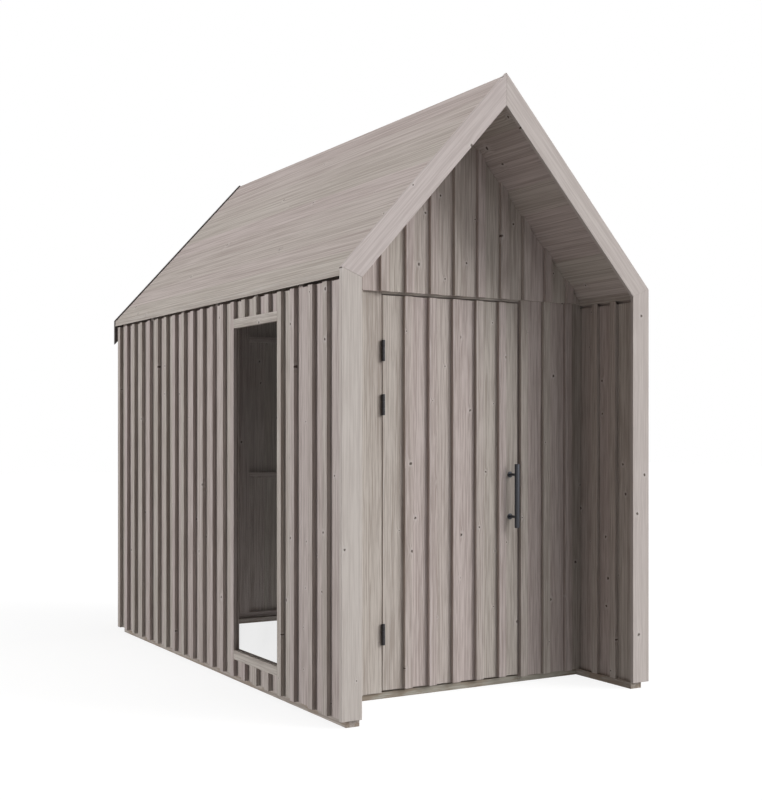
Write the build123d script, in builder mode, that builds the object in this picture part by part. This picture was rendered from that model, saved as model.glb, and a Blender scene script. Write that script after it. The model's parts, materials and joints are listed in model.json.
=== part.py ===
"""Narrow garden shed of board-and-batten timber with a steep roof and an open porch.

All sizes are in millimetres. X runs to the right, Y to the back and Z up. The origin is
on the ground under the middle of the shed, and the porch faces -Y.
"""

import os
from math import cos, radians, tan

from build123d import *

# Overall size
width = 1754.0              # across the front trim boards
length = 3105.0             # front trim face to the back of the rear barge boards
eave_height = 2001.0        # ground to the outer eave corner of the front trim
roof_pitch = 47.7           # degrees
porch_depth = 450.0         # front trim face to the frame of the door wall

# Boards and battens
board_thick = 14.0
batten_thick = 19.0
batten_width = 44.0
batten_pitch = 140.0
gable_pitch = 140.5
door_pitch = 139.4
side_panel_pitch = 143.0
gable_step = board_thick    # the porch gable stands this far in front of the door wall

# Timber frame
frame_depth = 35.0
stud_width = 45.0
rail_height = 35.0
bearer_height = 32.0
bearer_depth = 68.0
mid_rail_height = 973.0
stud_spacing = 560.0
twin_stud_width = 72.0
twin_stud_shift = -22.0     # the twin stud stands left of the middle

# Trim and barge boards
trim_thick = 20.0
trim_width = 103.0
trim_proud = 5.5            # the trim stands this far above the roof boards
rear_overhang = 58.0        # back wall battens to the barge boards

# Roof
deck_thick = 20.0
rafter_depth = 50.5
rafter_width = 45.0
rafter_count = 7
soffit_thick = 14.0
ridge_thick = 20.0
eave_gap = 10.0             # open slit between the side cladding and the roof boards

# Lining of the porch
lining_batten_starts = (116.0, 258.0)   # from the front end of the wall
lining_rail_drop = 28.0                 # visible height of the rail under the soffit

# Window in the left wall
window_start = 628.3        # front end of the wall to the opening
window_bays = 4             # the opening takes the place of the battens in this many bays
window_sill = 167.0
window_head_drop = 185.0    # eave corner of the trim to the top of the opening
casing_width = 47.0
pane_thick = 4.0
pane_cover = 10.0           # the casing covers this much of the pane
pane_play = 2.0
bead_size = 10.0
jamb_setback = 126.0        # the rear jamb stud stands back from the opening

# Door wall, measured from the left edge of the front trim
door_left = 460.0
door_width = 801.5
door_hinge_gap = 5.0
door_lock_gap = 9.0
door_bottom_gap = 10.0
door_top_gap = 8.0
head_reveal = 8.0           # strip that shows over the door
gable_drop = 41.5           # eave corner of the trim to the lower edge of the porch gable
head_lap = 15.0             # the door wall runs up this far behind the gable
gable_toe = 6.0             # blunt ends of the gable boards at the eaves
door_batten_start = 115.0   # hinge edge of the door to its first batten
left_panel_battens = 2
ledge_count = 3
ledge_width = 95.0
ledge_inset = 15.0
ledge_end_gap = 99.0        # upper and lower edge of the door to the nearest ledge
brace_width = 90.0

# Hinges
hinge_length = 101.0
low_hinge_rise = 271.4      # lower edge of the door to the middle of the lowest hinge
high_hinge_drops = (527.0, 267.0)       # upper edge of the door to the other two
barrel_radius = 9.0
pin_radius = 4.0
pin_play = 0.3
knuckle_play = 0.5
hinge_plate = 2.0
barrel_clearance = 1.0

# Pull handle
handle_x = 752.5            # hinge edge of the door to the middle of the bar
handle_bottom = 799.0
handle_length = 324.0
handle_radius = 13.5
handle_reach = 63.0         # board face to the middle of the bar
post_spacing = 214.0
post_radius = 7.0
rosette_radius = 15.0
rosette_thick = 4.0
handle_chamfer = 1.5

# Places worked out from the sizes above
half = width / 2
front = -length / 2
wall_front = front + trim_thick
barge_front = length / 2 - trim_thick
back_face = barge_front - rear_overhang
clad_thick = board_thick + batten_thick
frame_in = clad_thick + frame_depth
lining_face = frame_in + clad_thick
back_frame = back_face - clad_thick
back_inner = back_frame - frame_depth
door_frame = front + porch_depth
door_board = door_frame - board_thick
door_face = door_board - batten_thick
gable_board = door_board - gable_step
gable_face = gable_board - batten_thick
deck_depth = trim_proud + deck_thick
rafter_bottom = deck_depth + rafter_depth
soffit_bottom = rafter_bottom + soffit_thick
leaf_left = door_left - half
leaf_right = leaf_left + door_width
opening_left = leaf_left - door_hinge_gap
opening_right = leaf_right + door_lock_gap
leaf_bottom = bearer_height + door_bottom_gap
gable_bottom = eave_height - gable_drop
head_bottom = gable_bottom - head_reveal
leaf_top = head_bottom - door_top_gap
head_top = gable_bottom + head_lap
ledge_rise = (leaf_top - leaf_bottom - ledge_width - 2 * ledge_end_gap) / (ledge_count - 1)
ledge_bottoms = [leaf_bottom + ledge_end_gap + ledge_rise * i for i in range(ledge_count)]
hinge_heights = [leaf_bottom + low_hinge_rise] + [leaf_top - drop for drop in high_hinge_drops]
gable_rows = int((half - lining_face) // gable_pitch)
door_batten_first = leaf_left + door_batten_start
hinge_x = leaf_left - door_hinge_gap / 2
hinge_y = door_board - barrel_radius - barrel_clearance


def roof_z(x, depth):
    """Height at x of the line that lies depth under the outer line of the trim."""
    run = half - abs(x)
    return eave_height + run * tan(radians(roof_pitch)) - depth / cos(radians(roof_pitch))


def roof_x(z, depth):
    """Distance from the middle at which that line comes down to height z."""
    return half - (z - eave_height + depth / cos(radians(roof_pitch))) / tan(radians(roof_pitch))


clad_top = roof_z(half, deck_depth) - eave_gap
plate_bottom = roof_z(half - clad_thick, rafter_bottom) - rail_height
lining_rail_bottom = roof_z(half - lining_face, soffit_bottom) - lining_rail_drop
window_front = wall_front + window_start
window_width = window_bays * batten_pitch - batten_width
window_back = window_front + window_width
window_top = eave_height - window_head_drop
window_height = window_top - window_sill
rebate = pane_cover + pane_play
ridge_bottom = roof_z(0, rafter_bottom)
stud_foot = bearer_height + rail_height


def timber(x_pair, y_pair, z_pair):
    """Add a square-cut timber that fills the box between two corners."""
    x0, x1 = sorted(x_pair)
    y0, y1 = sorted(y_pair)
    z0, z1 = sorted(z_pair)
    with Locations((x0, y0, z0)):
        Box(x1 - x0, y1 - y0, z1 - z0, align=(Align.MIN, Align.MIN, Align.MIN))


def cut_to_shape(points, y_pair):
    """Add a board of uniform thickness, with its outline given in X and Z."""
    y0, y1 = sorted(y_pair)
    with BuildSketch(Plane.XZ.offset(-y0)) as outline:
        with BuildLine():
            Polyline(*points, close=True)
        make_face()
    extrude(outline.sketch, amount=y0 - y1)


def across(side, near, far):
    """X of two depths into a side wall, from its outer face; side is -1 left, 1 right."""
    return side * (half - near), side * (half - far)


def slope_strip(side, x_out, x_in, upper, lower):
    """Outline of a piece that follows one slope of the roof between two depths."""
    return [
        (side * x_out, roof_z(x_out, upper)),
        (side * x_in, roof_z(x_in, upper)),
        (side * x_in, roof_z(x_in, lower)),
        (side * x_out, roof_z(x_out, lower)),
    ]


def under_roof(x0, x1, bottom, depth):
    """Outline of an upright piece from bottom up to a line under the roof."""
    points = [(x0, bottom), (x0, roof_z(x0, depth))]
    if x0 < 0 < x1:
        points.append((0, roof_z(0, depth)))
    points += [(x1, roof_z(x1, depth)), (x1, bottom)]
    return points


def notch_for_ridge(y_pair):
    """Cut the slot where the ridge beam passes through the back gable."""
    z_pair = (ridge_bottom, roof_z(0, 0))
    x0, y0, z0 = -ridge_thick / 2, min(y_pair), min(z_pair)
    with Locations((x0, y0, z0)):
        Box(ridge_thick, max(y_pair) - y0, max(z_pair) - z0,
            align=(Align.MIN, Align.MIN, Align.MIN), mode=Mode.SUBTRACT)


def save(piece, label):
    """Name a finished piece and write its file."""
    piece.part.label = label
    export_step(piece.part, "parts/" + label + ".step")


def make_bearers():
    """Ground beams under the walls and across the doorway."""
    ground = (0, bearer_height)
    with BuildPart() as side_bearers:
        for side in (-1, 1):
            timber(across(side, clad_thick, clad_thick + bearer_depth), (wall_front, back_frame), ground)
    save(side_bearers, "side_bearers")
    inner = half - clad_thick - bearer_depth
    with BuildPart() as cross_bearers:
        for y0 in (door_frame, back_frame - bearer_depth):
            timber((-inner, inner), (y0, y0 + bearer_depth), ground)
    save(cross_bearers, "cross_bearers")


def make_left_wall():
    """Boards of the left wall, in pieces round the window."""
    boards = across(-1, batten_thick, clad_thick)
    cut_front = window_front - rebate
    cut_back = window_back + rebate
    for name, y_pair in (("front", (wall_front, cut_front)), ("rear", (cut_back, back_face))):
        with BuildPart() as panel:
            timber(boards, y_pair, (bearer_height, clad_top))
        save(panel, "left_wall_" + name)
    with BuildPart() as infill:
        timber(boards, (cut_front, cut_back), (bearer_height, window_sill - rebate))
        timber(boards, (cut_front, cut_back), (window_top + rebate, clad_top))
    save(infill, "left_wall_at_window")


def make_right_wall():
    """Boards of the right wall, which has no opening."""
    with BuildPart() as panel:
        timber(across(1, batten_thick, clad_thick), (wall_front, back_face), (bearer_height, clad_top))
    save(panel, "right_wall")


def side_batten_starts():
    """Y of the front edge of each batten on a side wall."""
    starts = [wall_front + start for start in lining_batten_starts]
    step = window_front - batten_width
    while step - batten_pitch > starts[-1] + batten_pitch:
        step -= batten_pitch
    while step < back_face - batten_width / 2:
        starts.append(step)
        step += batten_pitch
    return starts


def make_side_battens():
    """Upright battens on the side walls, cut short over and under the window."""
    casing_low = window_sill - casing_width
    casing_high = window_top + casing_width
    for side, name in ((-1, "left"), (1, "right")):
        faces = across(side, 0, batten_thick)
        with BuildPart() as battens:
            for start in side_batten_starts():
                span = (start, min(start + batten_width, back_face))
                middle = start + batten_width / 2
                if side < 0 and window_front < middle < window_back:
                    timber(faces, span, (bearer_height, casing_low))
                    timber(faces, span, (casing_high, clad_top))
                else:
                    timber(faces, span, (bearer_height, clad_top))
        save(battens, name + "_battens")


def make_window():
    """Casing boards, glazing beads and the fixed pane of the left wall."""
    with BuildPart() as casing:
        timber(across(-1, 0, batten_thick), (window_front, window_back),
               (window_sill - casing_width, window_sill))
        timber(across(-1, 0, batten_thick), (window_front, window_back),
               (window_top, window_top + casing_width))
    save(casing, "window_casing")

    pane_x = across(-1, batten_thick, batten_thick + pane_thick)
    with BuildPart() as pane:
        timber(pane_x, (window_front - pane_cover, window_back + pane_cover),
               (window_sill - pane_cover, window_top + pane_cover))
    save(pane, "window_pane")

    middle = Vector(0, (window_front + window_back) / 2, (window_sill + window_top) / 2)
    bead_plane = Plane(origin=middle + Vector(-half + batten_thick + pane_thick, 0, 0),
                       x_dir=(0, 1, 0), z_dir=(1, 0, 0))
    outer_w = window_width + 2 * rebate
    outer_h = window_height + 2 * rebate
    with BuildPart() as beads:
        with BuildSketch(bead_plane):
            Rectangle(outer_w, outer_h)
            Rectangle(outer_w - 2 * bead_size, outer_h - 2 * bead_size, mode=Mode.SUBTRACT)
        extrude(amount=board_thick - pane_thick)
    save(beads, "window_beads")


def stud_starts(first, last, count):
    """Y of evenly spaced studs, the first and last set against the ends of a wall."""
    step = (last - stud_width - first) / (count - 1)
    return [first + step * i for i in range(count)]


def left_stud_starts():
    """The left wall has its studs clear of the window."""
    rear = window_back + jamb_setback
    count = 1 + round((back_frame - rear) / stud_spacing)
    return [wall_front, door_frame, window_front - rebate - stud_width - pane_play] + \
        stud_starts(rear, back_frame, count)


def right_stud_starts():
    """The right wall has one stud at the door wall and an even row behind it."""
    count = 1 + round((back_frame - door_frame) / stud_spacing)
    return [wall_front] + stud_starts(door_frame, back_frame, count)


def make_side_frames():
    """Studs, bottom rails, middle rails and bevelled wall plates of the side walls."""
    walls = ((-1, left_stud_starts()), (1, right_stud_starts()))
    with BuildPart() as studs:
        for side, starts in walls:
            for start in starts:
                timber(across(side, clad_thick, frame_in), (start, start + stud_width),
                       (stud_foot, plate_bottom))
    save(studs, "side_studs")

    with BuildPart() as rails:
        for side, starts in walls:
            layer = across(side, clad_thick, frame_in)
            timber(layer, (wall_front, back_frame), (bearer_height, stud_foot))
            for start, following in zip(starts, starts[1:]):
                bay = (start + stud_width, following)
                if side < 0 and start < window_front < following:
                    timber(layer, bay, (window_sill - rebate - rail_height, window_sill - rebate))
                    timber(layer, bay, (window_top + rebate, window_top + rebate + rail_height))
                elif start > wall_front:
                    timber(layer, bay, (mid_rail_height, mid_rail_height + rail_height))
    save(rails, "side_rails")

    with BuildPart() as plates:
        for side in (-1, 1):
            x_out, x_in = across(side, clad_thick, frame_in)
            cut_to_shape(under_roof(min(x_out, x_in), max(x_out, x_in), plate_bottom, rafter_bottom),
                         (wall_front, back_frame))
    save(plates, "wall_plates")


def make_back_wall():
    """Back wall with its gable: boards, battens and the frame that shows through the window."""
    edge = half - clad_thick
    with BuildPart() as boards:
        cut_to_shape(under_roof(-edge, edge, bearer_height, deck_depth),
                     (back_frame, back_frame + board_thick))
        notch_for_ridge((back_frame, back_face))
    save(boards, "back_wall")

    rows = int((edge - batten_width / 2) // batten_pitch)
    with BuildPart() as battens:
        for i in range(-rows, rows + 1):
            x0 = i * batten_pitch - batten_width / 2
            cut_to_shape(under_roof(x0, x0 + batten_width, bearer_height, deck_depth),
                         (back_face - batten_thick, back_face))
        notch_for_ridge((back_frame, back_face))
    save(battens, "back_battens")

    inner = half - frame_in
    twin_left = twin_stud_shift - twin_stud_width / 2
    twin_right = twin_left + twin_stud_width
    edges = [(-inner, -inner + stud_width), (twin_left, twin_right), (inner - stud_width, inner)]
    layer = (back_inner, back_frame)
    with BuildPart() as studs:
        for x0, x1 in edges:
            cut_to_shape(under_roof(x0, x1, stud_foot, rafter_bottom), layer)
    save(studs, "back_studs")

    with BuildPart() as rails:
        timber((-inner, inner), layer, (bearer_height, stud_foot))
        for height in (mid_rail_height, plate_bottom):
            for (_, x0), (x1, _) in zip(edges, edges[1:]):
                timber((x0, x1), layer, (height, height + rail_height))
    save(rails, "back_rails")


def make_door_wall():
    """Fixed panels beside the door, the strip over it and the frame behind them."""
    edge = half - frame_in - board_thick
    layer = (door_board, door_frame)
    for name, x_pair in (("left", (-edge, opening_left)), ("right", (opening_right, edge))):
        with BuildPart() as panel:
            timber(x_pair, layer, (bearer_height, head_top))
        save(panel, "door_wall_" + name)
    with BuildPart() as head:
        timber((opening_left, opening_right), layer, (head_bottom, head_top))
    save(head, "door_wall_head")

    last = gable_rows * gable_pitch - batten_width / 2
    count = max(1, round((last - opening_right) / side_panel_pitch))
    step = (last - opening_right) / count
    with BuildPart() as battens:
        fixed = [door_batten_first - door_pitch * (i + 2) for i in range(left_panel_battens)]
        fixed += [opening_right + step * i for i in range(count + 1)]
        for x0 in fixed:
            timber((x0, x0 + batten_width), (door_face, door_board), (bearer_height, gable_bottom))
    save(battens, "door_wall_battens")

    frame = (door_frame, door_frame + frame_depth)
    inner = half - frame_in
    with BuildPart() as posts:
        for x0 in (-inner, inner - stud_width):
            cut_to_shape(under_roof(x0, x0 + stud_width, stud_foot, rafter_bottom), frame)
        for x0 in (opening_left - stud_width, opening_right):
            timber((x0, x0 + stud_width), frame, (stud_foot, head_bottom))
        for x0 in (opening_left - stud_width, -stud_width / 2, opening_right):
            cut_to_shape(under_roof(x0, x0 + stud_width, head_top, rafter_bottom),
                         (door_board, door_frame + frame_depth))
    save(posts, "door_wall_posts")

    with BuildPart() as rails:
        timber((-inner, opening_left), frame, (bearer_height, stud_foot))
        timber((opening_right, inner), frame, (bearer_height, stud_foot))
        timber((-inner + stud_width, inner - stud_width), frame, (head_bottom, head_top))
    save(rails, "door_wall_rails")


def make_gable():
    """Porch gable over the door, one board in front of the wall below it."""
    edge = min(half - frame_in - board_thick, roof_x(gable_bottom + gable_toe, soffit_bottom))
    with BuildPart() as boards:
        cut_to_shape(under_roof(-edge, edge, gable_bottom, soffit_bottom), (gable_board, door_board))
    save(boards, "gable")

    with BuildPart() as battens:
        for i in range(-gable_rows, gable_rows + 1):
            x0 = i * gable_pitch - batten_width / 2
            cut_to_shape(under_roof(x0, x0 + batten_width, gable_bottom, soffit_bottom),
                         (gable_face, gable_board))
    save(battens, "gable_battens")


def make_lining():
    """Boards, battens and top rail on the inner faces of the two porch walls."""
    board_out = half - frame_in
    board_in = board_out - board_thick
    batten_in = half - lining_face
    with BuildPart() as boards:
        for side in (-1, 1):
            x0, x1 = sorted((side * board_out, side * board_in))
            cut_to_shape(under_roof(x0, x1, bearer_height, soffit_bottom), (wall_front, door_frame))
    save(boards, "porch_lining")

    with BuildPart() as battens:
        for side in (-1, 1):
            for start in lining_batten_starts:
                y0 = wall_front + start
                timber((side * board_in, side * batten_in), (y0, y0 + batten_width),
                       (bearer_height, lining_rail_bottom))
    save(battens, "porch_battens")

    with BuildPart() as rails:
        for side in (-1, 1):
            x0, x1 = sorted((side * board_in, side * batten_in))
            cut_to_shape(under_roof(x0, x1, lining_rail_bottom, soffit_bottom), (wall_front, gable_board))
    save(rails, "porch_rails")


def make_trim():
    """Mitred trim round the porch mouth and the barge boards of the back gable."""
    inner = half - trim_width
    corner = roof_z(inner, trim_width)
    for side, name in ((-1, "left"), (1, "right")):
        with BuildPart() as leg:
            outline = [
                (side * half, bearer_height),
                (side * half, eave_height),
                (side * inner, corner),
                (side * inner, bearer_height),
            ]
            cut_to_shape(outline, (front, wall_front))
        save(leg, "front_trim_" + name)

        with BuildPart() as rake:
            outline = [
                (side * half, eave_height),
                (0, roof_z(0, 0)),
                (0, roof_z(0, trim_width)),
                (side * inner, corner),
            ]
            cut_to_shape(outline, (front, wall_front))
        save(rake, "front_rake_" + name)

        with BuildPart() as barge:
            cut_to_shape(slope_strip(side, half, 0, 0, trim_width), (barge_front, length / 2))
        save(barge, "barge_board_" + name)


def make_roof():
    """Roof boards, ridge, rafters and the boarded soffit of the porch."""
    ridge_side = ridge_thick / 2
    for side, name in ((-1, "left"), (1, "right")):
        with BuildPart() as deck:
            cut_to_shape(slope_strip(side, half, 0, trim_proud, deck_depth), (wall_front, barge_front))
        save(deck, "roof_" + name)

        with BuildPart() as soffit:
            cut_to_shape(slope_strip(side, half - frame_in, 0, rafter_bottom, soffit_bottom),
                         (wall_front, door_board))
        save(soffit, "soffit_" + name)

    with BuildPart() as rafters:
        for side in (-1, 1):
            outline = slope_strip(side, half - clad_thick, ridge_side, deck_depth, rafter_bottom)
            for start in rafter_starts():
                cut_to_shape(outline, (start, start + rafter_width))
    save(rafters, "rafters")

    with BuildPart() as ridge:
        cut_to_shape(under_roof(-ridge_side, ridge_side, ridge_bottom, deck_depth),
                     (wall_front, barge_front))
    save(ridge, "ridge_beam")


def rafter_starts():
    """Y of the rafters: one over the porch mouth, then an even row from the door wall back."""
    first = door_board
    step = (back_frame - rafter_width - first) / (rafter_count - 2)
    return [wall_front] + [first + step * i for i in range(rafter_count - 1)]


def make_door():
    """Door leaf of boards and battens on three ledges, with a brace between each pair."""
    height = (leaf_bottom, leaf_top)
    with BuildPart() as boards:
        timber((leaf_left, leaf_right), (door_board, door_frame), height)
    save(boards, "door_boards")

    with BuildPart() as battens:
        count = 1 + int((door_width - door_batten_start - batten_width) // door_pitch)
        for i in range(count):
            x0 = door_batten_first + door_pitch * i
            timber((x0, x0 + batten_width), (door_face, door_board), height)
    save(battens, "door_battens")

    inside = (door_frame, door_frame + frame_depth)
    ledge_x = (leaf_left + ledge_inset, leaf_right - ledge_inset)
    with BuildPart() as ledges:
        for z0 in ledge_bottoms:
            timber(ledge_x, inside, (z0, z0 + ledge_width))
    save(ledges, "door_ledges")

    with BuildPart() as braces:
        for low, z1 in zip(ledge_bottoms, ledge_bottoms[1:]):
            z0 = low + ledge_width
            outline = [
                (ledge_x[0], z0),
                (ledge_x[0] + brace_width, z0),
                (ledge_x[1], z1),
                (ledge_x[1] - brace_width, z1),
            ]
            cut_to_shape(outline, inside)
    save(braces, "door_braces")


def knuckle(z0, z1):
    """Add one barrel of a hinge, standing on the hinge axis."""
    with Locations((hinge_x, hinge_y, z0)):
        Cylinder(barrel_radius, z1 - z0, align=(Align.CENTER, Align.CENTER, Align.MIN))


def make_hinges():
    """Three butt hinges: the post carries two knuckles and the pin, the door the one between."""
    third = hinge_length / 3
    with BuildPart() as fixed:
        for middle in hinge_heights:
            z0 = middle - hinge_length / 2
            z1 = middle + hinge_length / 2
            knuckle(z0, z0 + third)
            knuckle(z1 - third, z1)
            with Locations((hinge_x, hinge_y, z0)):
                Cylinder(pin_radius, hinge_length, align=(Align.CENTER, Align.CENTER, Align.MIN))
            for low, high in ((z0, z0 + third), (z1 - third, z1)):
                timber((opening_left, opening_left + hinge_plate),
                       (hinge_y, door_frame + frame_depth / 2), (low, high))
    save(fixed, "hinge_post_leaves")

    with BuildPart() as moving:
        for middle in hinge_heights:
            low = middle - third / 2 + knuckle_play
            high = middle + third / 2 - knuckle_play
            knuckle(low, high)
            timber((leaf_left - hinge_plate, leaf_left), (hinge_y, door_frame), (low, high))
            with Locations((hinge_x, hinge_y, low)):
                Cylinder(pin_radius + pin_play, high - low,
                         align=(Align.CENTER, Align.CENTER, Align.MIN), mode=Mode.SUBTRACT)
    save(moving, "hinge_door_leaves")


def make_handle():
    """Upright pull bar on two posts, each with a round rosette on the door board."""
    bar_x = leaf_left + handle_x
    bar_y = door_board - handle_reach
    middle = handle_bottom + handle_length / 2
    with BuildPart() as handle:
        with Locations((bar_x, bar_y, middle)):
            Cylinder(handle_radius, handle_length)
        chamfer(handle.edges().filter_by(GeomType.CIRCLE), handle_chamfer)
        for z in (middle - post_spacing / 2, middle + post_spacing / 2):
            with BuildSketch(Plane.XZ.offset(-bar_y)):
                with Locations((bar_x, z)):
                    Circle(post_radius)
            extrude(amount=-handle_reach)
            with BuildSketch(Plane.XZ.offset(-door_board)):
                with Locations((bar_x, z)):
                    Circle(rosette_radius)
            extrude(amount=rosette_thick)
    save(handle, "door_handle")


os.makedirs("parts", exist_ok=True)
make_bearers()
make_left_wall()
make_right_wall()
make_side_battens()
make_window()
make_side_frames()
make_back_wall()
make_door_wall()
make_gable()
make_lining()
make_trim()
make_roof()
make_door()
make_hinges()
make_handle()
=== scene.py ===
"""Looks of the narrow board-and-batten garden shed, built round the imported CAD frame.

Lengths are in metres. X runs to the right, Y to the back and Z up, and the porch faces -Y.
"""
import json
from math import acos, cos, radians, sin
from random import Random

import bpy
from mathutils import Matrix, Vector


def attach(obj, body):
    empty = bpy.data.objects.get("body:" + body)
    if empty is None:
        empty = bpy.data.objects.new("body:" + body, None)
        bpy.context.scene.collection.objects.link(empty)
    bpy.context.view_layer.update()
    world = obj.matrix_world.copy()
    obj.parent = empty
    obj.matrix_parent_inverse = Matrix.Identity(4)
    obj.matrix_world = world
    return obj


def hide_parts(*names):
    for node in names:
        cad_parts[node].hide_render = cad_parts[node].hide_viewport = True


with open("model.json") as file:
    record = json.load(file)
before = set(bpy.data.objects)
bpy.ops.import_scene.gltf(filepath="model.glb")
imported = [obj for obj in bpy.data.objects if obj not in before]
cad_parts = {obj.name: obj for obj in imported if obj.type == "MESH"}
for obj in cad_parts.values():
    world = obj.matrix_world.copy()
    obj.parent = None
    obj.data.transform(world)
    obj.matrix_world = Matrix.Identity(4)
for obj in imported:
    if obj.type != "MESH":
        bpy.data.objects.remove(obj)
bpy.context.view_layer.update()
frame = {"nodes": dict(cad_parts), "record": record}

bpy.ops.object.select_all(action="DESELECT")
slots = {part["node"]: part["material_slot"] for part in frame["record"]["subparts"]}
bodies = {node: body for body, nodes in frame["record"]["behaviour"]["bodies"].items() for node in nodes}
MM = 0.001

# Camera, found from the photograph's vanishing lines
PICTURE_HEIGHT = 800            # pixels, and the picture's long side
FOCAL_PIXELS = 1239.7
HORIZON_DROP_PIXELS = 29.93     # horizon below the middle of the picture
CENTRE_PIXELS = 0.5             # camera's centre line right of the middle of the picture
CAMERA_PLACE = (-3.4156, -6.2641, 1.2954)
CAMERA_YAW = -30.17             # degrees
SENSOR = 36.0                   # millimetres on the picture's long side

# Timber
ROOF_BOARD = 145 * MM           # width of one roof or soffit board
BARGE_GAP = 8 * MM              # shadow gap between the roof boards and the barge boards
SOFFIT_GAP = 14 * MM            # shadow gap between the porch's wall boards and the soffit
EAVE_SLOT = 5 * MM              # slot in the soffit beside the porch battens
EASED_TIMBER = 1.5 * MM         # rounding of sawn and planed edges
EASED_METAL = 0.6 * MM          # rounding of the edges of hinges and handle
THINNEST_STRIP = 5 * MM         # no board is sawn narrower than this
PAST_END = 10 * MM              # a cut that is to take nothing off stands this far past the end
MERGE = 0.01 * MM
FLAT_ANGLE = radians(1)         # faces that meet flatter than this are one face
SHARP_ANGLE = radians(25)       # edges sharper than this are rounded
SMOOTH_ANGLE = radians(35)      # faces of metal that meet flatter than this shade as one

# Length and width of the wood's streaks. Its real rings and fibres are 1 to 3 mm wide, too fine to show
# in the picture, so they are drawn as coarse as it needs.
RINGS = (1400 * MM, 13 * MM)
FIBRES = (200 * MM, 6 * MM)
LONG_FIBRES = (600 * MM, 6 * MM)
CLOUDS = (900 * MM, 200 * MM)
STAINS = (170 * MM, 45 * MM)
RAGGED = (12 * MM, 6 * MM)
PATTERN_REACH = 40              # boards start at chance places of the pattern within this length

# Knots: radii of a knot of middling size, in cells of which only some hold one
KNOT_CELL = 200 * MM
KNOT_HEART = (4 * MM, 7 * MM)
KNOT_HALO = (7 * MM, 20 * MM)
KNOT_SWELL = 45 * MM            # fibres bend within this reach
KNOT_BEND = 7 * MM
KNOT_RAGGED = 2 * MM            # in and out of a round edge

COAT_GRAIN = 2.5 * MM           # powder coat's real grain of 0.3 mm is too fine to show
GLASS_WAVE = 333 * MM           # slow waves of drawn sheet glass

EASED = {"interpolation_type": "SMOOTHSTEP"}
COLOUR = {"data_type": "RGBA"}


def srgb(code):
    """Linear colour of an sRGB hex code."""
    parts = [int(code[i:i + 2], 16) / 255 for i in (1, 3, 5)]
    linear = [c / 12.92 if c <= 0.04045 else ((c + 0.055) / 1.055) ** 2.4 for c in parts]
    return (*linear, 1.0)


def add_node(tree, kind, settings=None, **links):
    """Add a node, set its properties and input values, and link its inputs.

    An input is given by its name or its number, and a link's number follows an underscore. A link
    comes from a socket, or from a node's first output in use.
    """
    node = tree.nodes.new("ShaderNode" + kind)

    def entry(key):
        if isinstance(key, int):
            return node.inputs[key]
        return next(socket for socket in node.inputs if socket.name == key and socket.enabled)

    for key, value in (settings or {}).items():
        if isinstance(key, str) and hasattr(node, key):
            setattr(node, key, value)
        else:
            entry(key).default_value = value
    for key, source in links.items():
        if isinstance(source, bpy.types.Node):
            source = next(socket for socket in source.outputs if socket.enabled)
        key = int(key[1:]) if key[0] == "_" else key.replace("_", " ")
        tree.links.new(source, entry(key))
    return node


def new_material(name):
    """Material with an empty node tree."""
    material = bpy.data.materials.new(name)
    material.use_nodes = True
    material.node_tree.nodes.clear()
    return material, material.node_tree


def streaks(tree, coords, size, detail):
    """Noise drawn out along the boards, with the length and width of its streaks."""
    length, width = size
    scaled = add_node(tree, "VectorMath", {"operation": "DIVIDE", 1: (length, width, width)}, _0=coords)
    return add_node(tree, "TexNoise", {"Scale": 1.0, "Detail": detail, "Roughness": 0.6}, Vector=scaled)


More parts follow.
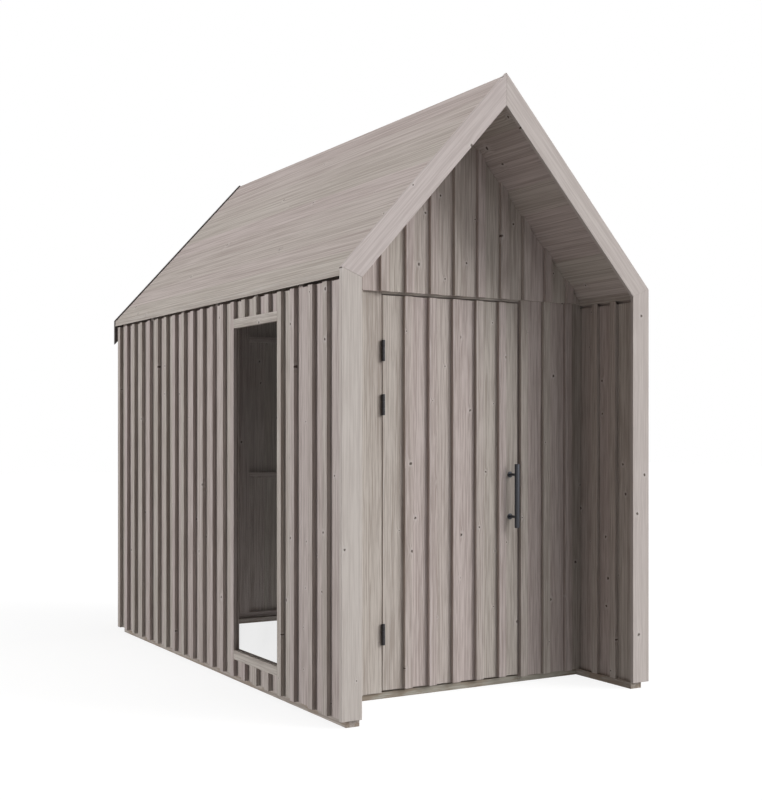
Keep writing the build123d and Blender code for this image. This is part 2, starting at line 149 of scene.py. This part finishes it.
def stained_wood(name, pale, dark, pink, green, knots=0.45, fibres=FIBRES, stains=0.0):
    """Softwood, sawn or planed, with a semi-transparent stain.

    The eye gets pale and dark fibres along each board, bent round small dark knots with a pale
    ring, a dull sheen, and boards that lean a little to pink or to green. Stains, where there
    are any, are brown patches of damp.
    """
    material, tree = new_material(name)
    coords = add_node(tree, "Attribute", {"attribute_name": "grain"}).outputs["Vector"]
    tone = add_node(tree, "Attribute", {"attribute_name": "tone"}).outputs["Fac"]

    # Distance to the nearest knot, in metres on a knot of middling size
    flat = add_node(tree, "VectorMath", {"operation": "MULTIPLY", 1: (1, 1, 0)}, _0=coords)
    cells = add_node(tree, "TexVoronoi", {"voronoi_dimensions": "2D", "Scale": 1 / KNOT_CELL}, Vector=flat)
    chance = add_node(tree, "SeparateColor", Color=cells.outputs["Color"]).outputs
    has_knot = add_node(tree, "Math", {"operation": "LESS_THAN", 1: knots}, _0=chance["Red"])
    size = add_node(tree, "MapRange", {**EASED, "To Min": 0.5, "To Max": 1.3}, Value=chance["Green"])
    near = add_node(tree, "Math", {"operation": "MULTIPLY", 1: KNOT_CELL}, _0=cells)
    near = add_node(tree, "Math", {"operation": "DIVIDE"}, _0=near, _1=size)
    ragged = add_node(tree, "MapRange", {**EASED, "From Min": 0.3, "From Max": 0.7, "To Min": -KNOT_RAGGED,
                                         "To Max": KNOT_RAGGED}, Value=streaks(tree, coords, RAGGED, 2.0))
    near = add_node(tree, "Math", {"operation": "ADD"}, _0=near, _1=ragged)

    # Fibres that swell round a knot
    swell = add_node(tree, "MapRange", {**EASED, "From Max": KNOT_SWELL, "To Min": KNOT_BEND, "To Max": 0.0},
                     Value=near)
    swell = add_node(tree, "Math", {"operation": "MULTIPLY"}, _0=swell, _1=has_knot)
    aside = add_node(tree, "CombineXYZ", Y=swell)
    bent = add_node(tree, "VectorMath", {"operation": "ADD"}, _0=coords, _1=aside)
    streak = add_node(tree, "Mix", {"Factor": 0.6}, A=streaks(tree, bent, RINGS, 4.0),
                      B=streaks(tree, bent, fibres, 3.0))
    share = add_node(tree, "MapRange", {**EASED, "From Min": 0.4, "From Max": 0.6}, Value=streak)
    colour = add_node(tree, "Mix", {**COLOUR, "A": srgb(dark), "B": srgb(pale)}, Factor=share)

    # Each board's own lean to pink or green
    lean = add_node(tree, "Mix", {"Factor": 0.25}, A=tone, B=streaks(tree, coords, CLOUDS, 2.0))
    lean = add_node(tree, "MapRange", {**EASED, "From Min": 0.2, "From Max": 0.8}, Value=lean)
    tint = add_node(tree, "Mix", {**COLOUR, "A": srgb(pink), "B": srgb(green)}, Factor=lean)
    colour = add_node(tree, "Mix", {**COLOUR, "blend_type": "MULTIPLY", "Factor": 1.0}, A=colour, B=tint)

    if stains:
        cover = add_node(tree, "MapRange", {**EASED, "From Min": 0.45, "From Max": 0.6, "To Max": stains},
                         Value=streaks(tree, coords, STAINS, 3.0))
        colour = add_node(tree, "Mix", {**COLOUR, "B": srgb("#8a7866")}, Factor=cover, A=colour)
    for (inner, outer), strength, shade in ((KNOT_HALO, 0.45, "#cdc6c2"), (KNOT_HEART, 0.9, "#4a3d35")):
        ends = {"From Min": inner, "From Max": outer, "To Min": strength, "To Max": 0.0}
        cover = add_node(tree, "MapRange", {**EASED, **ends}, Value=near)
        cover = add_node(tree, "Math", {"operation": "MULTIPLY"}, _0=cover, _1=has_knot)
        colour = add_node(tree, "Mix", {**COLOUR, "B": srgb(shade)}, Factor=cover, A=colour)

    sheen = add_node(tree, "MapRange", {**EASED, "From Min": 0.3, "From Max": 0.7, "To Min": 0.82,
                                        "To Max": 0.68}, Value=streak)
    relief = add_node(tree, "Bump", {"Strength": 0.35, "Distance": 0.6 * MM}, Height=streak)
    shader = add_node(tree, "BsdfPrincipled", {"Specular IOR Level": 0.25}, Base_Color=colour,
                      Roughness=sheen, Normal=relief)
    add_node(tree, "OutputMaterial", Surface=shader)
    return material


def coated_steel(name, pale, dark, roughness):
    """Powder-coated steel.

    The coat's fine grain gives the eye a slightly cloudy tone and a soft, broken sheen.
    """
    material, tree = new_material(name)
    coords = add_node(tree, "TexCoord").outputs["Object"]
    mottle = add_node(tree, "TexNoise", {"Scale": 1 / COAT_GRAIN, "Detail": 3.0}, Vector=coords)
    share = add_node(tree, "MapRange", {**EASED, "From Min": 0.35, "From Max": 0.65}, Value=mottle)
    colour = add_node(tree, "Mix", {**COLOUR, "A": srgb(dark), "B": srgb(pale)}, Factor=share)
    ends = {"From Min": 0.3, "From Max": 0.7, "To Min": roughness - 0.08, "To Max": roughness + 0.08}
    sheen = add_node(tree, "MapRange", {**EASED, **ends}, Value=mottle)
    relief = add_node(tree, "Bump", {"Strength": 0.2, "Distance": 0.2 * MM}, Height=mottle)
    shader = add_node(tree, "BsdfPrincipled", {"Metallic": 0.2}, Base_Color=colour, Roughness=sheen,
                      Normal=relief)
    add_node(tree, "OutputMaterial", Surface=shader)
    return material


def clear_glass(name):
    """Clear drawn sheet glass.

    The eye gets only a faint sheen, a little uneven from the glass's slow waves.
    """
    material, tree = new_material(name)
    coords = add_node(tree, "TexCoord").outputs["Object"]
    wave = add_node(tree, "TexNoise", {"Scale": 1 / GLASS_WAVE, "Detail": 2.0}, Vector=coords)
    ends = {**EASED, "From Min": 0.3, "From Max": 0.7, "To Max": 0.06}
    haze = add_node(tree, "MapRange", {**ends, "To Min": 0.02}, Value=wave)
    cover = add_node(tree, "MapRange", {**ends, "To Min": 0.03}, Value=wave)
    shader = add_node(tree, "BsdfPrincipled", {"Base Color": srgb("#1c2221")}, Roughness=haze, Alpha=cover)
    add_node(tree, "OutputMaterial", Surface=shader)
    return material


# Pale and dark of the grain, and the pink and green that tint single boards
STAIN = ("#c6bdb8", "#a89d97", "#fffbfc", "#fbfcf8")
PLANED_TINTS = ("#fffcfd", "#fcfcf9")
finishes = {
    # Sawing leaves a rough face, whose grain shows strongly
    "stained_cladding": stained_wood("stained sawn softwood boards", *STAIN),
    "sawn_frame": stained_wood("stained sawn softwood frame", *STAIN),
    # Planing leaves a smoother face, whose grain hardly shows
    "painted_trim": stained_wood("stained planed softwood trim", "#cbc3bf", "#bdb4b0", *PLANED_TINTS),
    # Painted shade: a dark colour on the barge boards for the shade they lie in behind the ridge, which
    # nearly hides grain and knots
    "barge_painted_shade": stained_wood("softwood barge boards with painted shade", "#625d5b", "#544f4e", *PLANED_TINTS,
                               knots=0.0),
    # Long boards with long fibres and fewer knots
    "roof_boards": stained_wood("stained softwood roof boards", *STAIN, knots=0.15, fibres=LONG_FIBRES),
    "soffit_boards": stained_wood("stained softwood soffit boards", *STAIN, knots=0.3, fibres=LONG_FIBRES),
    # Preservative leaves the ground beams greenish, with brown damp stains
    "treated_bearer": stained_wood("treated softwood bearers", "#b8b1ab", "#9a918b", "#fffaf8", "#f5f8ef",
                                   stains=0.6),
    # A dark coat, darker and duller on the hinges than on the handle
    "hinge_metal": coated_steel("powder-coated steel hinges", "#2b292c", "#1f1d20", 0.5),
    "handle_metal": coated_steel("powder-coated steel handle", "#44464d", "#383a40", 0.42),
    "clear_glass": clear_glass("drawn sheet glass"),
}


def work_on(piece):
    """Make a piece the only selected and active one."""
    bpy.ops.object.select_all(action="DESELECT")
    piece.select_set(True)
    bpy.context.view_layer.objects.active = piece


def merged_copy(node):
    """Copy of a CAD node with its facets joined into plain faces."""
    work_on(frame["nodes"][node])
    bpy.ops.object.duplicate()
    piece = bpy.context.object
    bpy.ops.object.mode_set(mode="EDIT")
    bpy.ops.mesh.select_all(action="SELECT")
    bpy.ops.mesh.remove_doubles(threshold=MERGE)
    bpy.ops.mesh.dissolve_limited(angle_limit=FLAT_ANGLE)
    bpy.ops.object.mode_set(mode="OBJECT")
    return piece


def span_along(piece, normal):
    """Nearest and farthest distance of a piece along a normal."""
    reach = [vertex.co.dot(normal) for vertex in piece.data.vertices]
    return min(reach), max(reach)


def keep_between(piece, normal, low, high):
    """Cut away what lies outside two planes, given by their distances along a normal."""
    work_on(piece)
    bpy.ops.object.mode_set(mode="EDIT")
    for distance, side in ((low, "clear_inner"), (high, "clear_outer")):
        bpy.ops.mesh.select_all(action="SELECT")
        bpy.ops.mesh.bisect(plane_co=normal * distance, plane_no=normal, use_fill=True, **{side: True})
    bpy.ops.object.mode_set(mode="OBJECT")


def parts_between(piece, normal, spans):
    """Keep only the stretches of a piece that lie in some spans along a normal, each closed."""
    kept = []
    for low, high in spans:
        work_on(piece)
        bpy.ops.object.duplicate()
        part = bpy.context.object
        keep_between(part, normal, low, high)
        kept.append(part)
    bpy.data.objects.remove(piece)
    work_on(kept[0])
    for part in kept:
        part.select_set(True)
    if len(kept) > 1:
        bpy.ops.object.join()
    return bpy.context.object


def split_boards(piece, normal, joints):
    """Saw a panel into boards at its joints."""
    low, high = span_along(piece, normal)
    inner = [joint for joint in sorted(joints) if low + THINNEST_STRIP < joint < high - THINNEST_STRIP]
    edges = [low - PAST_END, *inner, high + PAST_END]
    return parts_between(piece, normal, list(zip(edges, edges[1:])))


def even_joints(piece, normal):
    """Joints between the boards of a slope, which are all as wide."""
    low, high = span_along(piece, normal)
    count = round((high - low) / ROOF_BOARD)
    return [low + (high - low) / count * i for i in range(1, count)]


def ease_edges(piece, offset):
    """Round the sharp edges of a piece."""
    work_on(piece)
    bpy.ops.object.mode_set(mode="EDIT")
    bpy.ops.mesh.select_mode(type="EDGE")
    bpy.ops.mesh.select_all(action="DESELECT")
    bpy.ops.mesh.edges_select_sharp(sharpness=SHARP_ANGLE)
    bpy.ops.mesh.bevel(offset=offset, segments=2, affect="EDGES", clamp_overlap=True)
    bpy.ops.mesh.select_all(action="SELECT")
    bpy.ops.mesh.normals_make_consistent(inside=False)
    bpy.ops.mesh.select_mode(type="VERT")
    bpy.ops.object.mode_set(mode="OBJECT")


def loose_parts(mesh):
    """Vertex numbers of each separate timber of a mesh."""
    parent = list(range(len(mesh.vertices)))

    def root(i):
        while parent[i] != i:
            parent[i] = parent[parent[i]]
            i = parent[i]
        return i

    for edge in mesh.edges:
        parent[root(edge.vertices[0])] = root(edge.vertices[1])
    parts = {}
    for i in range(len(parent)):
        parts.setdefault(root(i), []).append(i)
    return list(parts.values())


def longest_way(mesh, part):
    """Direction of the longest edge of a separate timber."""
    members = set(part)
    edges = [edge.vertices for edge in mesh.edges if edge.vertices[0] in members]
    a, b = max(edges, key=lambda pair: (mesh.vertices[pair[0]].co - mesh.vertices[pair[1]].co).length)
    return (mesh.vertices[a].co - mesh.vertices[b].co).normalized()


def lay_grain(piece, along, seed):
    """Give each board its own grain coordinates and tone.

    The grain runs along the given direction, or along the longest edge of a board where none is
    given, and every board starts at its own place in the pattern.
    """
    mesh = piece.data
    grains = [0.0] * (3 * len(mesh.vertices))
    tones = [0.0] * len(mesh.vertices)
    chance = Random(seed)
    for part in loose_parts(mesh):
        direction = along or longest_way(mesh, part)
        side = Vector((0, 1, 0)) if abs(direction.y) < 0.9 else Vector((0, 0, 1))
        across = direction.cross(side).normalized()
        through = direction.cross(across)
        widths = []
        for axis in (across, through):
            reach = [mesh.vertices[i].co.dot(axis) for i in part]
            widths.append(max(reach) - min(reach))
        if widths[1] > widths[0]:
            across, through = through, across
        shift = [chance.uniform(0, PATTERN_REACH) for _ in range(3)]
        shade = chance.random()
        for i in part:
            place = mesh.vertices[i].co
            grains[3 * i:3 * i + 3] = [place.dot(axis) + start
                                       for axis, start in zip((direction, across, through), shift)]
            tones[i] = shade
    mesh.attributes.new("grain", "FLOAT_VECTOR", "POINT").data.foreach_set("vector", grains)
    mesh.attributes.new("tone", "FLOAT", "POINT").data.foreach_set("value", tones)


def put_in_place(piece, name, node):
    """Name a finished piece, give it its node's finish or the barge boards' painted shade, and let it stand
    for that node.
    """
    piece.name = piece.data.name = name
    piece.data.materials.clear()
    # barge boards take a dark colour that paints in their shade, in place of their node's finish
    piece.data.materials.append(finishes["barge_painted_shade" if node.startswith("barge") else slots[node]])
    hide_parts(node)
    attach(piece, bodies[node])


def centres_of(node, axis):
    """Middles of a node's battens along one axis."""
    piece = merged_copy(node)
    middles = []
    for part in loose_parts(piece.data):
        reach = [piece.data.vertices[i].co[axis] for i in part]
        middles.append(round((min(reach) + max(reach)) / 2, 4))
    bpy.data.objects.remove(piece)
    return sorted(set(middles))


def roof_slope():
    """Angle of the roof, from the widest face of its left slope."""
    faces = frame["nodes"]["roof_left"].data.polygons
    return acos(abs(max(faces, key=lambda face: face.area).normal.z))


X, Y, Z = Vector((1, 0, 0)), Vector((0, 1, 0)), Vector((0, 0, 1))
SLOPE = roof_slope()
UP_LEFT = Vector((cos(SLOPE), 0, sin(SLOPE)))       # up the left slope
UP_RIGHT = Vector((-cos(SLOPE), 0, sin(SLOPE)))
OFF_LEFT = Vector((-sin(SLOPE), 0, cos(SLOPE)))     # square off the left slope
OFF_RIGHT = Vector((sin(SLOPE), 0, cos(SLOPE)))

# Panels, the direction across their boards and the battens that cover the joints
PANELS = {
    "left_wall_front": (Y, "left_battens"),
    "left_wall_at_window": (Y, "left_battens"),
    "left_wall_rear": (Y, "left_battens"),
    "right_wall": (Y, "right_battens"),
    "back_wall": (X, "back_battens"),
    "door_boards": (X, "door_battens"),
    "door_wall_left": (X, "door_wall_battens"),
    "door_wall_right": (X, "door_wall_battens"),
    "gable": (X, "gable_battens"),
    "porch_lining": (Y, "porch_battens"),
}
BATTENS = {battens for _, battens in PANELS.values()}
SLOPES = {"roof_left": UP_LEFT, "roof_right": UP_RIGHT, "soffit_left": UP_LEFT, "soffit_right": UP_RIGHT}
METAL = ("hinge_post_leaves", "hinge_door_leaves", "door_handle")
GLASS = "window_pane"


def with_shadow_gaps(piece, node, porch_side):
    """Piece of a node, cut where a gap parts it from its neighbours.

    The porch's sides are the faces of its battens, at the given distance from the middle.
    """
    if node in ("roof_left", "roof_right"):
        low, high = span_along(piece, Y)
        keep_between(piece, Y, low - PAST_END, high - BARGE_GAP)
    elif node in ("soffit_left", "soffit_right"):
        outward = -X if node == "soffit_left" else X
        low, high = span_along(piece, outward)
        piece = parts_between(piece, outward, [(porch_side, high + PAST_END),
                                               (low - PAST_END, porch_side - EAVE_SLOT)])
    elif node in ("porch_lining", "porch_battens"):
        for normal in (OFF_LEFT, OFF_RIGHT):
            low, high = span_along(piece, normal)
            keep_between(piece, normal, low - PAST_END, high - SOFFIT_GAP)
    return piece


def dress_timber():
    """Boards sawn apart, edges eased and grain laid on every timber of the shed."""
    joints = {node: centres_of(battens, 0 if normal is X else 1)
              for node, (normal, battens) in PANELS.items()}
    porch_side = min(abs(vertex.co.x) for vertex in frame["nodes"]["porch_battens"].data.vertices)
    for seed, node in enumerate(sorted(slots)):
        if node in METAL or node == GLASS:
            continue
        piece = with_shadow_gaps(merged_copy(node), node, porch_side)
        along = None
        if node in PANELS:
            piece = split_boards(piece, PANELS[node][0], joints[node])
            along = Z
        elif node in SLOPES:
            piece = split_boards(piece, SLOPES[node], even_joints(piece, SLOPES[node]))
            along = Y
        elif node in BATTENS:
            along = Z
        ease_edges(piece, EASED_TIMBER)
        lay_grain(piece, along, seed)
        put_in_place(piece, node + "_dressed", node)


def dress_metal():
    """Hinges and handle with eased edges and smooth round faces."""
    for node in METAL:
        piece = merged_copy(node)
        ease_edges(piece, EASED_METAL)
        work_on(piece)
        bpy.ops.object.shade_smooth_by_angle(angle=SMOOTH_ANGLE)
        put_in_place(piece, node + "_dressed", node)


def glaze_window():
    """The CAD's own pane, with the finish of glass."""
    pane = frame["nodes"][GLASS]
    pane.data.materials.clear()
    pane.data.materials.append(finishes["clear_glass"])


def make_camera():
    """Camera at the photograph's place, level, with the horizon shifted as it is there."""
    data = bpy.data.cameras.new("camera")
    data.sensor_width = SENSOR
    data.lens = FOCAL_PIXELS / PICTURE_HEIGHT * SENSOR
    data.shift_x = -CENTRE_PIXELS / PICTURE_HEIGHT
    data.shift_y = HORIZON_DROP_PIXELS / PICTURE_HEIGHT
    camera = bpy.data.objects.new("camera", data)
    camera.location = CAMERA_PLACE
    camera.rotation_euler = (radians(90), 0, radians(CAMERA_YAW))
    bpy.context.scene.collection.objects.link(camera)
    bpy.context.scene.camera = camera


# Soft lamps of the studio: azimuth and elevation they shine from, strength, and width in degrees
LAMPS = {
    "left fill": ((-130, 4), 2.53, 20),
    "key": ((47, 22), 1.93, 30),
    "front key": ((28, 35), 0.50, 40),
    "high key": ((45, 68), 1.05, 40),
    "low front": ((14, 4), 0.30, 20),
    "top": ((0, 88), 0.42, 20),
}
AIR_LIGHT = 0.02                # what the white surroundings add to the lamps
FLOOR_LIGHT = 0.31              # what the floor gives the shed from below
FLOOR_SHOWN = 0.87              # glow that brings the floor near to white in the picture
FLOOR_SIZE = 60


def make_lamps():
    """Soft lamps, each shining from its own direction."""
    for name, ((azimuth, elevation), energy, width) in LAMPS.items():
        azimuth, elevation = radians(azimuth), radians(elevation)
        towards = Vector((sin(azimuth) * cos(elevation), -cos(azimuth) * cos(elevation), sin(elevation)))
        data = bpy.data.lights.new(name, "SUN")
        data.energy = energy
        data.angle = radians(width)
        lamp = bpy.data.objects.new(name, data)
        lamp.rotation_euler = towards.to_track_quat("Z", "Y").to_euler()
        bpy.context.scene.collection.objects.link(lamp)


def ray_that_shows(tree):
    """1 for the rays that show the background: straight, mirrored or through glass."""
    path = add_node(tree, "LightPath").outputs
    seen = add_node(tree, "Math", {"operation": "ADD"}, _0=path["Is Camera Ray"], _1=path["Is Glossy Ray"])
    return add_node(tree, "Math", {"operation": "ADD", "use_clamp": True}, _0=seen,
                    _1=path["Is Transmission Ray"])


def make_surroundings():
    """White surroundings that hardly light the shed."""
    world = bpy.data.worlds.new("studio")
    world.use_nodes = True
    tree = world.node_tree
    tree.nodes.clear()
    light = add_node(tree, "Background", {"Color": srgb("#ffffff"), "Strength": AIR_LIGHT})
    white = add_node(tree, "Background", {"Color": srgb("#ffffff"), "Strength": 1.0})
    mix = add_node(tree, "MixShader", _0=ray_that_shows(tree), _1=light, _2=white)
    add_node(tree, "OutputWorld", Surface=mix)
    bpy.context.scene.world = world


def make_floor():
    """Pale paper floor that shows nearly white and keeps the shed's shadow."""
    bpy.ops.mesh.primitive_plane_add(size=FLOOR_SIZE, location=(0, 0, 0))
    floor = bpy.context.object
    floor.name = "floor"
    material, tree = new_material("pale paper floor")
    sides = []
    for shade, glow in (("#383838", FLOOR_LIGHT), ("#7c7c7c", FLOOR_SHOWN)):
        paper = add_node(tree, "BsdfDiffuse", {"Color": srgb(shade)})
        light = add_node(tree, "Emission", {"Color": srgb("#ffffff"), "Strength": glow})
        sides.append(add_node(tree, "AddShader", _0=paper, _1=light))
    mix = add_node(tree, "MixShader", _0=ray_that_shows(tree), _1=sides[0], _2=sides[1])
    add_node(tree, "OutputMaterial", Surface=mix)
    floor.data.materials.append(material)


dress_timber()
dress_metal()
glaze_window()
make_camera()
make_lamps()
make_surroundings()
make_floor()
bpy.context.scene.view_settings.view_transform = "Standard"
